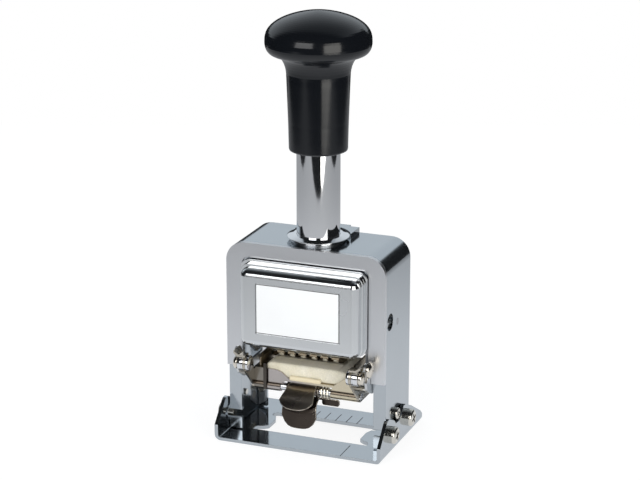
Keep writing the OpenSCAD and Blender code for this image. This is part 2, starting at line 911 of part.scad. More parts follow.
// Inner side plates between the arms: low flat cheeks that hold the rod and the bosses.
module side_plates() {
    low = rod_z - rod_r;
    back = back_y - frame_d * 0.251;
    strap_z = boss_z + boss_r;
    color("darkgray")
        both_sides()
            difference() {
                union() {
                    side_piece(side_x, side_out)
                        union() {
                            polygon([[rod_y - rod_r, low + rod_r], [rod_y, low], [back - rod_r, low],
                                [back, low + rod_r], [back, plate_end - gap], [face_y - gap * 2, plate_end - gap],
                                [face_y - gap * 2, boss_z], [boss_y, boss_z], [boss_y - boss_r * 0.6, boss_z - boss_r * 0.9]]);
                            translate([boss_y, boss_z])
                                circle(r = boss_r * 1.02);
                            translate([rod_y, rod_z])
                                circle(r = rod_r);
                        }
                    front_piece(boss_y - boss_r * 0.9, boss_y + boss_r * 0.3)
                        polygon([[side_x, strap_z], [arm_x - sheet * 1.6, strap_z], [arm_x, strap_z + sheet * 1.4],
                            [arm_x, strap_z + sheet * 2.4], [arm_x - sheet * 2.2, strap_z + sheet * 0.8], [side_x, strap_z + sheet * 0.8]]);
                }
                translate([0, rod_y, rod_z])
                    x_bar(rod_r - sheet * 0.5, -frame_w, frame_w);
            }
}

// Pins that join the arms and the side plates, low at the front and back.
module cross_pins() {
    color("rosybrown")
        both_sides() {
            translate([0, cross_y, cross_z])
                x_bar(cross_r, side_out, arm_x);
            translate([0, back_y - frame_d * 0.312, cross_z])
                x_bar(cross_r, side_out, arm_x);
        }
}

// Tray of bent sheet under the felt: its front wall is cut to two lobes and rolled round the rod.
lobe_shares = [[0.4, 0], [0.6, 0.75], [0.72, 0.95], [0.98, 1]];
right_shares = [[0.7, 0], [0.95, 0.8], [1.1, 1]];

module pad_tray() {
    floor_z = pad_top - pad_t - sheet;
    wall_low = rod_z + rod_r * 0.75;
    left = [for (p = lobe_shares) [-p[0] * pad_w / 2, floor_z + sheet + p[1] * pad_t * 0.76]];
    right = [for (p = right_shares) [p[0] * pad_w / 2, floor_z + sheet + p[1] * pad_t * 0.88]];
    color("darkgray")
        union() {
            translate([-side_x, pad_y, floor_z])
                cube([2 * side_x, pad_d + sheet, sheet]);
            translate([-pad_w / 2, pad_y + pad_d, floor_z])
                cube([pad_w, sheet, pad_t * 0.7]);
            front_piece(pad_y - sheet, pad_y)
                union() {
                    polygon(concat(left, [[-side_x, left[3][1]], [-side_x, wall_low], [-roll_x, wall_low]]));
                    polygon(concat(right, [[side_x, right[2][1]], [side_x, wall_low], [roll_x, wall_low]]));
                    translate([-side_x, floor_z])
                        square([2 * side_x, sheet]);
                }
            both_sides()
                translate([0, rod_y, rod_z])
                    difference() {
                        x_bar(rod_r, roll_x, side_x);
                        x_bar(rod_r - sheet * 0.5 + fit, roll_x - over, side_x + over);
                    }
        }
}

// Felt pad: a soft block, a little worn down under the wheels, with a low tongue in front.
module ink_pad() {
    r = pad_t * 0.3;
    back = pad_y + pad_d + over;
    worn = wheel_r * 0.86;
    color("cornsilk")
        union() {
            side_piece(-pad_w / 2, pad_w / 2)
                difference() {
                    union() {
                        translate([pad_y, pad_top - pad_t])
                            square([pad_d, pad_t + pad_edge - r]);
                        translate([pad_y + r, pad_top - pad_t])
                            square([pad_d - 2 * r, pad_t + pad_edge]);
                        for (y = [pad_y + r, pad_y + pad_d - r])
                            translate([y, pad_top + pad_edge - r])
                                circle(r = r);
                    }
                    polygon([[-worn - pad_edge * 2, pad_top + pad_edge + over], [-worn - pad_edge * 2, pad_top + pad_edge],
                        [-worn, pad_top], [back, pad_top], [back, pad_top + pad_edge + over]]);
                }
            front_piece(pad_y - sheet * 0.9, pad_y + sheet)
                soft_box(-pad_w * 0.2, pad_top - pad_t, pad_w * 0.2, pad_top - pad_t * 0.6, r * 0.6);
        }
}

// Rolled hinge rod under the tray's front.
module hinge_rod() {
    color("silver")
        translate([0, rod_y, rod_z])
            difference() {
                x_bar(rod_r - sheet * 0.5, -side_out - sheet / 2, side_out + sheet / 2);
                x_bar(rod_r * 0.4, side_out, side_out + over);
                x_bar(rod_r * 0.4, -side_out - over, -side_out);
            }
}

// A finger tab: a sheet that widens from w0 to w1 and turns down to a rim with rounded corners.
// The corners end short by the share side; a high power keeps the rim's middle straight.
module petal(w0, w1, t, reach, drop, side, power, hollow, turn, fall, tilt) {
    rows = 9;
    cols = 10;
    c = cols + 1;
    n = (rows + 1) * c;
    marks = [for (i = [0 : rows], j = [0 : cols]) let (u = 2 * j / cols - 1) [u, i / rows * (1 - side * pow(abs(u), power))]];
    top = [for (m = marks) [m[0] * (w0 + (w1 - w0) * m[1]) / 2,
        -reach * (1 - pow(1 - m[1], turn)) + hollow * m[0] * m[0] * m[1], -drop * pow(m[1], fall)]];
    low = [for (k = [0 : n - 1]) let (lean = tilt * (1 - pow(1 - marks[k][1], turn)))
        top[k] + t * [0, sin(lean), -cos(lean)]];
    cells = [for (i = [0 : rows - 1], j = [0 : cols - 1]) i * c + j];
    faces = concat(
        [for (k = cells) each [[k, k + 1, k + c], [k + 1, k + c + 1, k + c]]],
        [for (k = cells) each [[n + k, n + k + c, n + k + 1], [n + k + 1, n + k + c, n + k + c + 1]]],
        [for (j = [0 : cols - 1]) each [[j, n + j, j + 1], [j + 1, n + j, n + j + 1]]],
        [for (j = [n - c : n - 2]) each [[j, j + 1, n + j], [n + j, j + 1, n + j + 1]]],
        [for (i = [0 : rows - 1]) each [[i * c, i * c + c, n + i * c], [i * c + c, n + i * c + c, n + i * c]]],
        [for (i = [1 : rows]) each [[i * c - 1, n + i * c - 1, i * c + c - 1], [i * c + c - 1, n + i * c - 1, n + i * c + c - 1]]]);
    polyhedron(points = concat(top, low), faces = faces);
}

// A sleeve on the hinge rod from x0 to x1.
module rod_sleeve(r, x0, x1) {
    difference() {
        x_bar(r, x0, x1);
        x_bar(rod_r - sheet * 0.5 + fit, x0 - over, x1 + over);
    }
}

// Upper finger tab, rolled round the rod and spread into a fan with an arched rim.
module upper_finger_tab() {
    color([0.2, 0.18, 0.16])
        translate([stack_x, rod_y, rod_z])
            union() {
                rod_sleeve(rod_r, -root_x, root_x);
                translate([0, -sheet * 0.3, rod_r])
                    petal(root_x * 2, tab_w, sheet * 0.45, rod_r * 5.3, rod_r * 3.2, 0.28, 2.6, 0, 1.15, 1.4, 45);
            }
}

// Release lever: the lower tab, eyes on the rod at both sides of the upper one, and a small tail.
module release_lever() {
    root = rod_r * 1.15;
    lower_x = root_x + gap * 1.6 + sheet;
    color([0.2, 0.18, 0.16])
        translate([stack_x, rod_y, rod_z])
            union() {
                for (side = [-1, 1])
                    rod_sleeve(rod_r * 1.2, side * (lower_x - sheet / 2) - sheet / 2, side * (lower_x - sheet / 2) + sheet / 2);
                translate([0, 0, -root])
                    petal(lower_x * 2, lever_w, sheet * 0.6, rod_r * 3.2, rod_r * 5.6, 0.3, 4, sheet * 1.5, 4, 1.35, 84);
                front_piece(-sheet * 0.3, sheet * 0.3)
                    union() {
                        translate([lower_x - sheet, -root - sheet])
                            square([sheet * 4, sheet * 0.8]);
                        soft_box(lower_x + sheet, -root - rod_r * 1.4, lower_x + sheet * 8.4, -root - sheet * 0.2, rod_r * 0.5);
                    }
            }
}

// Chromed collars on the carriage's front corners.
module pivot_bosses() {
    color("silver")
        both_sides()
            translate([0, boss_y, boss_z]) {
                x_bar(boss_r, side_x - sheet * 1.2, side_x);
                x_bar(boss_r, side_out, side_out + boss_r * 0.8);
            }
}

// Screws in the bosses.
module boss_screws() {
    color("gainsboro")
        both_sides()
            translate([0, boss_y, boss_z])
                pan_head(boss_r * 0.91, sheet * 2.2, side_out + boss_r * 0.8);
}

// Flat headed guide stud on the right arm's hook, in front of the plate.
module guide_rollers() {
    color("gainsboro")
        translate([0, roller_y, roller_z]) {
            x_bar(roller_r * 0.29, arm_out, arm_out + sheet * 0.6);
            pan_head(roller_r, sheet * 1.1, arm_out + sheet * 0.6);
        }
}

// Spring coiled on the rod beside the tabs.
coil_turns = 3;
wire_r = 0.35;

module torsion_spring() {
    rings = coil_turns * 8;
    sides = 6;
    mid_r = (rod_r - sheet * 0.5 + fit) / cos(22.5) + wire_r;
    pitch = wire_r * 3.3;
    x0 = stack_x + root_x + sheet * 1.5 + gap * 2;
    points = [for (i = [0 : rings], j = [0 : sides - 1]) let (a = i * 45, b = j * 60)
        [x0 + pitch * i / 8 + wire_r * sin(b), (mid_r + wire_r * cos(b)) * cos(a), (mid_r + wire_r * cos(b)) * sin(a)]];
    faces = concat(
        [[for (j = [0 : sides - 1]) j]],
        [for (i = [0 : rings - 1], j = [0 : sides - 1]) each let (k = (j + 1) % sides)
            [[i * sides + j, (i + 1) * sides + k, i * sides + k], [i * sides + j, (i + 1) * sides + j, (i + 1) * sides + k]]],
        [[for (j = [sides - 1 : -1 : 0]) rings * sides + j]]);
    turn_gap = min([for (i = [0 : rings - 8], j = [0 : sides - 1], k = [0 : sides - 1])
        norm(points[i * sides + j] - points[(i + 8) * sides + k])]);
    echo("least gap between turns of the torsion spring", turn_gap);
    color("gainsboro")
        translate([0, rod_y, rod_z])
            polyhedron(points = points, faces = faces);
}

frame_shell();
front_plate();
base_plate();
base_screws();
base_spacers();
leg_pins();
collar_nut();
collar_washer();
lock_bracket();
lock_button();
spring_bar();
return_spring();
cam_plates();
cam_plate_screws();
knob();
plunger_tube();
tube_plug();
bridge_plate();
case_side_left();
case_side_right();
front_cover();
label_plate();
rear_cover();
wheel_shaft();
wheel_spacers();
retaining_comb();
tie_rods();
carriage_pivot_screws();
number_wheel_1();
number_wheel_2();
number_wheel_3();
number_wheel_4();
number_wheel_5();
number_wheel_6();
drive_yoke();
drive_pawl();
pawl_rod();
selector_dial();
selector_post();
arm_left();
arm_right();
side_plates();
cross_pins();
pad_tray();
ink_pad();
upper_finger_tab();
hinge_rod();
pivot_bosses();
boss_screws();
guide_rollers();
torsion_spring();
release_lever();
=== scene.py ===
# Desk numbering machine with a gloss black knob, a chromed arch frame, a stepped cover over the
# figure wheels and a felt ink pad that swings forward as the knob is pressed.
import bpy, math
from mathutils import Vector, Matrix


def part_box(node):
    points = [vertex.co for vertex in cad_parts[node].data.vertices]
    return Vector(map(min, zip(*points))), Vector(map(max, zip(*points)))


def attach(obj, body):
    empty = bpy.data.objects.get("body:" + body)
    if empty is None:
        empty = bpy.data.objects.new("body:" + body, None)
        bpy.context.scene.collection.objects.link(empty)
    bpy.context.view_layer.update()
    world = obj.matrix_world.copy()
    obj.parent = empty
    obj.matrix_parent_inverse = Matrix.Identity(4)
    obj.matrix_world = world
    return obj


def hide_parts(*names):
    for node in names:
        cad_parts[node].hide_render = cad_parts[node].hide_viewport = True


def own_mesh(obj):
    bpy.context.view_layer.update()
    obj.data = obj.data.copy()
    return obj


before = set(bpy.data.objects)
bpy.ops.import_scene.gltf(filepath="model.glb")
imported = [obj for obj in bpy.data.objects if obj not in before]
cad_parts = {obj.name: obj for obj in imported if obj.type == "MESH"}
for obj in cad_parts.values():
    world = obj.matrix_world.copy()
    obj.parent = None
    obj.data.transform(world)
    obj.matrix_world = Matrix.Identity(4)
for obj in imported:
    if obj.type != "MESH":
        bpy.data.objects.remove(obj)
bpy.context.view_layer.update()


# Camera and studio
# A pale sheet on a table in a dim room, a pale card behind it on the left, and two soft lamps in
# front. The camera stands 21.4 degrees to the right of the front and 17.5 degrees above it.
scene = bpy.context.scene
scene.view_settings.view_transform = "Standard"
aim = Vector((-0.00054, 0.00284, 0.07213))
turn, rise, away = math.radians(21.44), math.radians(17.45), 0.7828
back = Vector((math.sin(turn) * math.cos(rise), -math.cos(turn) * math.cos(rise), math.sin(rise)))
eye = bpy.data.cameras.new("photo_camera")
eye.lens = 123.75
eye.sensor_width = 36
eye.clip_start = 0.01
camera = bpy.data.objects.new("photo_camera", eye)
scene.collection.objects.link(camera)
camera.location = aim + back * away
camera.rotation_mode = "QUATERNION"
camera.rotation_quaternion = (-back).to_track_quat("-Z", "Y")
scene.camera = camera


def soft_lamp(name, bearing, far, height, size, power, colour=(1, 1, 1)):
    # A panel that faces the object, at a bearing in degrees to the right of the object's front.
    data = bpy.data.lights.new(name, "AREA")
    data.shape = "RECTANGLE"
    data.size, data.size_y = size
    data.energy = power
    data.color = colour
    lamp = bpy.data.objects.new(name, data)
    scene.collection.objects.link(lamp)
    angle = math.radians(bearing)
    lamp.location = (far * math.sin(angle), -far * math.cos(angle), height)
    lamp.rotation_mode = "QUATERNION"
    lamp.rotation_quaternion = Vector((-math.sin(angle), math.cos(angle), 0)).to_track_quat("-Z", "Y")


soft_lamp("left_lamp", bearing=-10, far=0.7, height=0.38, size=(0.48, 0.42), power=1.6)
soft_lamp("right_lamp", bearing=51, far=0.7, height=0.16, size=(0.46, 0.54), power=2.2,
          colour=(1, 0.98, 0.93))


def reckon(tree, kind, *values):
    # One step of arithmetic on sockets and numbers.
    step = tree.nodes.new("ShaderNodeMath")
    step.operation = kind
    for spot, value in enumerate(values):
        if isinstance(value, (int, float)):
            step.inputs[spot].default_value = value
        else:
            tree.links.new(value, step.inputs[spot])
    return step.outputs[0]


def smooth(tree, value, low, high, start=0.0, end=1.0, form="SMOOTHSTEP"):
    # Goes from start to end while the value goes from low to high.
    step = tree.nodes.new("ShaderNodeMapRange")
    step.interpolation_type = form
    tree.links.new(value, step.inputs["Value"])
    for name, number in (("From Min", low), ("From Max", high), ("To Min", start), ("To Max", end)):
        step.inputs[name].default_value = number
    return step.outputs["Result"]


def mixed(tree, share, plain, other):
    # One shader that gives way to another by the given share.
    mix = tree.nodes.new("ShaderNodeMixShader")
    tree.links.new(share, mix.inputs["Fac"])
    tree.links.new(plain, mix.inputs[1])
    tree.links.new(other, mix.inputs[2])
    return mix.outputs[0]


def glowing(tree, kind, colour):
    # A backdrop or a glow of one colour.
    shader = tree.nodes.new(kind)
    shader.inputs["Color"].default_value = (*colour, 1)
    return shader


world = bpy.data.worlds.new("studio")
scene.world = world
world.use_nodes = True
sky = world.node_tree
sky.nodes.clear()
direction = sky.nodes.new("ShaderNodeTexCoord")
split = sky.nodes.new("ShaderNodeSeparateXYZ")
sky.links.new(direction.outputs["Generated"], split.inputs[0])
right, ahead, up = (split.outputs[axis] for axis in "XYZ")

# The card stands behind the object on the left, from about 8 degrees up, and fades towards its
# top and its front. Its right edge lies about 15 degrees right of straight behind, and further
# right above.
edge_slope, lean_from, lean = 0.27, 0.42, 1.8
edge_soft, foot_soft, front_soft = (-0.02, 0.05), (0.12, 0.17), (-0.1, 0.3)
top_fade, foot_light, top_light = (0.4, 1.0), 0.95, 0.22
lifted = reckon(sky, "MAXIMUM", reckon(sky, "SUBTRACT", up, lean_from), 0.0)
edge_x = reckon(sky, "MULTIPLY_ADD", ahead, edge_slope, reckon(sky, "MULTIPLY", lifted, lean))
card = smooth(sky, reckon(sky, "SUBTRACT", edge_x, right), *edge_soft)
card = reckon(sky, "MULTIPLY", card, smooth(sky, up, *foot_soft))
card = reckon(sky, "MULTIPLY", card, smooth(sky, up, *top_fade, foot_light, top_light))
card = reckon(sky, "MULTIPLY", card, smooth(sky, ahead, *front_soft))
room_glow = 0.02
glossy_sky = glowing(sky, "ShaderNodeBackground", (0.7, 0.76, 0.81))
sky.links.new(reckon(sky, "ADD", card, room_glow), glossy_sky.inputs["Strength"])
plain_sky = glowing(sky, "ShaderNodeBackground", (0.62, 0.64, 0.67))
white_sky = glowing(sky, "ShaderNodeBackground", (1, 1, 1))
ray = sky.nodes.new("ShaderNodeLightPath")
room = mixed(sky, ray.outputs["Is Glossy Ray"], plain_sky.outputs[0], glossy_sky.outputs[0])
room = mixed(sky, ray.outputs["Is Camera Ray"], room, white_sky.outputs[0])
sky.links.new(room, sky.nodes.new("ShaderNodeOutputWorld").inputs["Surface"])

# The sheet on the table. The camera sees it brighter than the lamps alone would make it, and
# metal sees it bright round the object and dimmer towards its edges.
floor_size, floor_shift = (0.74, 0.76, 1), (0, 0.065, 0)
own_light, camera_share = 1.2, 0.7
bright_near, bright_far, near, far, glossy_share = 0.9, 0.3, 0.06, 0.36, 0.7
bpy.ops.object.select_all(action="DESELECT")
bpy.ops.mesh.primitive_plane_add(size=1, location=(0, 0, 0))
floor = bpy.context.object
floor.name = "floor"
bpy.ops.object.mode_set(mode="EDIT")
bpy.ops.transform.resize(value=floor_size)
bpy.ops.transform.translate(value=floor_shift)
bpy.ops.object.mode_set(mode="OBJECT")
floor.rotation_euler.z = turn
pale = bpy.data.materials.new("pale_floor")
pale.use_nodes = True
tree = pale.node_tree
paper = tree.nodes["Principled BSDF"]
paper.inputs["Base Color"].default_value = (0.8, 0.8, 0.8, 1)
paper.inputs["Roughness"].default_value = 0.9
paper.inputs["Specular IOR Level"].default_value = 0
glow = glowing(tree, "ShaderNodeEmission", (1, 1, 1))
glow.inputs["Strength"].default_value = own_light
where = tree.nodes.new("ShaderNodeTexCoord")
reach = tree.nodes.new("ShaderNodeVectorMath")
reach.operation = "LENGTH"
tree.links.new(where.outputs["Object"], reach.inputs[0])
sheen = glowing(tree, "ShaderNodeEmission", (0.94, 0.965, 1))
tree.links.new(smooth(tree, reach.outputs["Value"], near, far, bright_near, bright_far),
               sheen.inputs["Strength"])
ray = tree.nodes.new("ShaderNodeLightPath")
seen = mixed(tree, reckon(tree, "MULTIPLY", ray.outputs["Is Camera Ray"], camera_share),
             paper.outputs[0], glow.outputs[0])
seen = mixed(tree, reckon(tree, "MULTIPLY", ray.outputs["Is Glossy Ray"], glossy_share),
             seen, sheen.outputs[0])
tree.links.new(seen, tree.nodes["Material Output"].inputs["Surface"])
floor.data.materials.append(pale)


# Arch frame
# One strip of steel bent into an arch with narrow lips folded in at the front and the back,
# polished and chromed all over. The tube's collar sits on its top.
def surface_grain():
    # Fine waviness and haze that every plated or moulded surface here has in some measure.
    group = bpy.data.node_groups.new("surface_grain", "ShaderNodeTree")
    face = group.interface
    face.new_socket("Colour", in_out="INPUT", socket_type="NodeSocketColor")
    for name, start in (("Base Roughness", 0.1), ("Haze", 0.05), ("Tint Change", 0.05), ("Scale", 400.0)):
        face.new_socket(name, in_out="INPUT", socket_type="NodeSocketFloat").default_value = start
    face.new_socket("Colour", in_out="OUTPUT", socket_type="NodeSocketColor")
    face.new_socket("Roughness", in_out="OUTPUT", socket_type="NodeSocketFloat")
    face.new_socket("Height", in_out="OUTPUT", socket_type="NodeSocketFloat")
    nodes, links = group.nodes, group.links
    given, made = nodes.new("NodeGroupInput"), nodes.new("NodeGroupOutput")
    where = nodes.new("ShaderNodeTexCoord")
    cloud = nodes.new("ShaderNodeTexNoise")
    cloud.inputs["Scale"].default_value = 60
    cloud.inputs["Detail"].default_value = 4
    fine = nodes.new("ShaderNodeTexNoise")
    fine.inputs["Detail"].default_value = 3
    links.new(where.outputs["Object"], cloud.inputs["Vector"])
    links.new(where.outputs["Object"], fine.inputs["Vector"])
    links.new(given.outputs["Scale"], fine.inputs["Scale"])
    drift = reckon(group, "SUBTRACT", cloud.outputs["Fac"], 0.5)
    rough = reckon(group, "MULTIPLY_ADD", drift, given.outputs["Haze"], given.outputs["Base Roughness"])
    links.new(rough, made.inputs["Roughness"])
    links.new(fine.outputs["Fac"], made.inputs["Height"])
    tint = nodes.new("ShaderNodeHueSaturation")
    links.new(given.outputs["Colour"], tint.inputs["Color"])
    change = reckon(group, "MULTIPLY_ADD", drift, given.outputs["Tint Change"], 1.0)
    links.new(change, tint.inputs["Value"])
    links.new(tint.outputs["Color"], made.inputs["Colour"])
    return group


grain = surface_grain()


def plated(name, colour, rough, haze=0.06, tint=0.12, scale=500, bump=0.02, metallic=1.0, edge=0.00015):
    # A smooth surface with the grain above. Its edges look rounded by the radius edge.
    material = bpy.data.materials.new(name)
    material.use_nodes = True
    nodes, links = material.node_tree.nodes, material.node_tree.links
    bsdf = nodes["Principled BSDF"]
    bsdf.inputs["Metallic"].default_value = metallic
    skin = nodes.new("ShaderNodeGroup")
    skin.name = "skin"
    skin.node_tree = grain
    skin.inputs["Colour"].default_value = (*colour, 1)
    skin.inputs["Base Roughness"].default_value = rough
    skin.inputs["Haze"].default_value = haze
    skin.inputs["Tint Change"].default_value = tint
    skin.inputs["Scale"].default_value = scale
    links.new(skin.outputs["Colour"], bsdf.inputs["Base Color"])
    links.new(skin.outputs["Roughness"], bsdf.inputs["Roughness"])
    swell = nodes.new("ShaderNodeBump")
    swell.inputs["Strength"].default_value = bump
    swell.inputs["Distance"].default_value = 0.0001
    links.new(skin.outputs["Height"], swell.inputs["Height"])
    if edge:
        soft = nodes.new("ShaderNodeBevel")
        soft.samples = 4
        soft.inputs["Radius"].default_value = edge
        links.new(soft.outputs["Normal"], swell.inputs["Normal"])
    links.new(swell.outputs["Normal"], bsdf.inputs["Normal"])
    return material


def dress(material, *names):
    for name in names:
        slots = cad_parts[name].data.materials
        slots.clear()
        slots.append(material)


dress(plated("arch_chrome", (0.5, 0.535, 0.565), 0.15), "frame_shell", "lock_bracket")


# Front plate
# A flat stamped steel plate with a tall window for the plunger's case, spot welded to the arch's
# front lips and satin chromed.
dress(plated("satin_front", (0.72, 0.73, 0.75), 0.32, haze=0.08, bump=0.06), "front_plate")


# Base
# A steel sheet with a wide window over the paper, folded up into two ears that the arch's legs are
# screwed to, and bright chromed.
dress(plated("base_chrome", (0.5, 0.535, 0.565), 0.1), "base_plate", "base_spacers")


def block(name, size, middle, round_off, segments):
    # A box with rounded edges, of the given size and at its place.
    bpy.ops.object.select_all(action="DESELECT")
    bpy.ops.mesh.primitive_cube_add(size=1, location=(0, 0, 0))
    piece = bpy.context.object
    piece.name = name
    bpy.ops.object.mode_set(mode="EDIT")
    bpy.ops.transform.resize(value=size)
    bpy.ops.transform.translate(value=middle)
    bpy.ops.mesh.bevel(offset=round_off, segments=segments, affect="EDGES")
    bpy.ops.object.mode_set(mode="OBJECT")
    return piece


def joined(parts, name):
    # Joins the parts into the first of them, under a new name.
    bpy.ops.object.select_all(action="DESELECT")
    for part in parts:
        part.select_set(True)
    bpy.context.view_layer.objects.active = parts[0]
    bpy.ops.object.join()
    parts[0].name = name
    return parts[0]


# Seven marks across the rear bar, one beside each wheel, and one on the front bar, are filled with
# dark enamel. Each is a strip that lies in its engraved groove.
base_low, base_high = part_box("base_plate")
wheel_low, wheel_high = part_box("number_wheel_1")
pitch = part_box("number_wheel_2")[0].x - wheel_low.x
wheels_middle = -0.00105
sheet_thick, groove_share, mark_lift = 0.0013, 0.9, 0.00005
mark_wide, mark_thick, mark_round = 0.00024, 0.00008, 0.00003
rear_bar_y, front_bar_y = base_high.y * 0.3784, base_low.y * 0.4263
rear_mark_long, rear_end_gap = pitch * 1.5, 0.00005
mark_places = [(wheels_middle + (i - 3) * pitch, rear_bar_y + rear_end_gap,
                rear_bar_y + rear_mark_long - rear_end_gap) for i in range(7)]
window_half, front_mark_share, front_mark_shift = 0.0253, 0.65, 0.0001
front_mark_x = window_half * front_mark_share + front_mark_shift
sheet_edge_gap, front_bar_gap = 0.0003, 0.0001
mark_places.append((front_mark_x, base_low.y + sheet_edge_gap, front_bar_y - front_bar_gap))
mark_z = sheet_thick * groove_share + mark_lift
strips = []
for x, front_y, rear_y in mark_places:
    strip_size = (mark_wide, rear_y - front_y, mark_thick)
    strips.append(block("strip", strip_size, (x, (front_y + rear_y) / 2, mark_z), mark_round, 2))
marks = joined(strips, "mark_enamel")
marks.data.materials.append(plated("mark_enamel", (0.035, 0.035, 0.04), 0.4, metallic=0.0, edge=0))
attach(marks, "frame")


# Screws and studs
# Turned steel with a cross recess, nickel plated, which is slightly warm against the blue of the
# chrome. They hold the base's ears, the cams and the pad carriage.
dress(plated("nickel_screws", (0.72, 0.69, 0.63), 0.14, bump=0.03),
      "base_screws", "leg_pins", "carriage_pivot_screws", "cam_plate_screws", "cross_pins")


# Tube and collar
# A drawn tube polished to a mirror, running in a turned collar nut on the arch's top. The pad
# carriage's hinge rod has the same polish.
dress(plated("tube_chrome", (0.80, 0.81, 0.83), 0.05, haze=0.03, bump=0.01),
      "plunger_tube", "collar_nut", "hinge_rod")


# Knob
# Moulded in one piece from gloss black plastic, with a shallow dome and a tapered grip, and
# seated over the tube's top end.
def moulded(name, colour, rough):
    material = plated(name, colour, rough, haze=0.04, tint=0.1, scale=600, metallic=0.0, edge=0.0002)
    material.node_tree.nodes["Principled BSDF"].inputs["IOR"].default_value = 1.5
    return material


dress(moulded("knob_black", (0.005, 0.006, 0.008), 0.15), "knob")


# Working parts
# The case, its shafts and tie rods, the cams, the drive beside the wheels and the lock's button:
# plain steel sheet and rod, left without plating.
dress(plated("plain_steel", (0.42, 0.43, 0.45), 0.28, haze=0.12, bump=0.08),
      "collar_washer", "spring_bar", "return_spring", "cam_plates", "tube_plug", "bridge_plate",
      "case_side_left", "case_side_right", "wheel_shaft", "wheel_spacers", "tie_rods", "drive_yoke",
      "drive_pawl", "pawl_rod", "selector_post", "lock_button")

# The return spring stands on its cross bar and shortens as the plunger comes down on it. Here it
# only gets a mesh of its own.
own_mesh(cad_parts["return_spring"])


# Cover
# A deep drawn cap with two stepped beads round its face, chromed. Its face is satin, and its beads
# and sides are bright.
def places(tree):
    # The coordinates of a point of the piece, in metres.
    where = tree.nodes.new("ShaderNodeTexCoord")
    split = tree.nodes.new("ShaderNodeSeparateXYZ")
    tree.links.new(where.outputs["Object"], split.inputs[0])
    return split.outputs


cover_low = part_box("front_cover")[0]
satin_rough, bright_rough = 0.27, 0.09
face_y, bead_y = cover_low.y + 0.00006, cover_low.y + 0.0004
cover_plate = plated("cover_chrome", (0.72, 0.735, 0.745), 0.1, haze=0.04, bump=0.03)
tree = cover_plate.node_tree
satin = smooth(tree, places(tree)["Y"], face_y, bead_y, satin_rough, bright_rough)
tree.links.new(satin, tree.nodes["skin"].inputs["Base Roughness"])
dress(cover_plate, "front_cover", "rear_cover")

# The label is a plain white film with a thin printed line round its edge.
dress(moulded("label_film", (0.93, 0.94, 0.94), 0.4), "label_plate")
low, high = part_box("label_plate")
line_wide, ink_thick, line_rise = 0.00022, 0.00003, 0.00002
bpy.ops.object.select_all(action="DESELECT")
bpy.ops.mesh.primitive_plane_add(size=1, location=(0, 0, 0))
border = bpy.context.object
border.name = "label_line"
bpy.ops.object.mode_set(mode="EDIT")
bpy.ops.mesh.select_all(action="SELECT")
bpy.ops.transform.rotate(value=math.radians(-90), orient_axis="X", center_override=(0, 0, 0))
bpy.ops.transform.resize(value=(high.x - low.x, 1, high.z - low.z))
bpy.ops.transform.translate(value=((high.x + low.x) / 2, low.y - line_rise, (high.z + low.z) / 2))
bpy.ops.mesh.inset(thickness=line_wide, depth=0)
bpy.ops.mesh.delete(type="FACE")
bpy.ops.mesh.select_all(action="SELECT")
bpy.ops.object.mode_set(mode="OBJECT")
border.modifiers.new("ink", "SOLIDIFY").thickness = ink_thick
bpy.ops.object.modifier_apply(modifier="ink")
border.data.materials.append(moulded("label_ink", (0.02, 0.02, 0.025), 0.4))
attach(border, "plunger")


# Figure wheels
# Six turned brass wheels, each with ten flats round its rim. Every flat carries one raised figure,
# cut in reverse so that it prints the right way, and ink has darkened the brass between them.
wheel_names = ["number_wheel_%d" % i for i in range(1, 7)]
dress(plated("wheel_brass", (0.3, 0.25, 0.18), 0.3, haze=0.3, tint=0.9, bump=0.1), *wheel_names)
# The figures are brass, made pale and only a quarter metallic so that they stay bright in the shade under
# the cover: painted glint over their own brass colour.
figure_brass = plated("figure_brass", (0.98, 0.93, 0.79), 0.24, haze=0.1, tint=0.2, bump=0.1,
                      metallic=0.25, edge=0)
axle = (wheel_low.z + wheel_high.z) / 2
flat_r = axle - wheel_low.z
facet_degrees, flat_share = 36, 0.36
flat_angle = math.radians(facet_degrees * flat_share)
figure_inset = 0.00145
figure_x = wheel_low.x + figure_inset
figure_size, figure_rise, figure_stretch, figure_foot = 0.0042, 0.00011, 1.05, 0.0001
figure_parts = []
for value in range(10):
    bpy.ops.object.select_all(action="DESELECT")
    bpy.ops.object.text_add(location=(0, 0, 0))
    word = bpy.context.object
    word.data.body = str(value)
    word.data.align_x = "CENTER"
    word.data.align_y = "CENTER"
    word.data.size = figure_size
    word.data.extrude = figure_rise
    word.data.resolution_u = 3
    bpy.ops.object.convert(target="MESH")
    # The figure is laid on its flat of the rim, turned to its place round the wheel.
    for point in word.data.vertices:
        across, up, out = point.co
        lean = up / flat_r
        reach = flat_r * math.cos(flat_angle / 2) / math.cos(abs(lean) - flat_angle / 2)
        reach += figure_foot + out
        angle = math.radians(facet_degrees * value) - lean
        point.co = (figure_x - across * figure_stretch, reach * math.sin(angle),
                    axle - reach * math.cos(angle))
    figure_parts.append(word)
figures = joined(figure_parts, "wheel_figures_1")
bpy.ops.object.mode_set(mode="EDIT")
bpy.ops.mesh.select_all(action="SELECT")
bpy.ops.mesh.remove_doubles(threshold=0.000002)
bpy.ops.mesh.normals_make_consistent(inside=False)
bpy.ops.object.mode_set(mode="OBJECT")
figures.data.materials.clear()
figures.data.materials.append(figure_brass)


def copy_along(piece, name, shift):
    # A copy with its own mesh, moved to the right by shift.
    other = piece.copy()
    other.name = name
    other.data = piece.data.copy()
    other.data.transform(Matrix.Translation((shift, 0, 0)))
    bpy.context.scene.collection.objects.link(other)
    return other


rings = [figures] + [copy_along(figures, "wheel_figures_%d" % (i + 1), pitch * i) for i in range(1, 6)]
for i, ring in enumerate(rings, 1):
    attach(ring, "wheel_%d" % i)


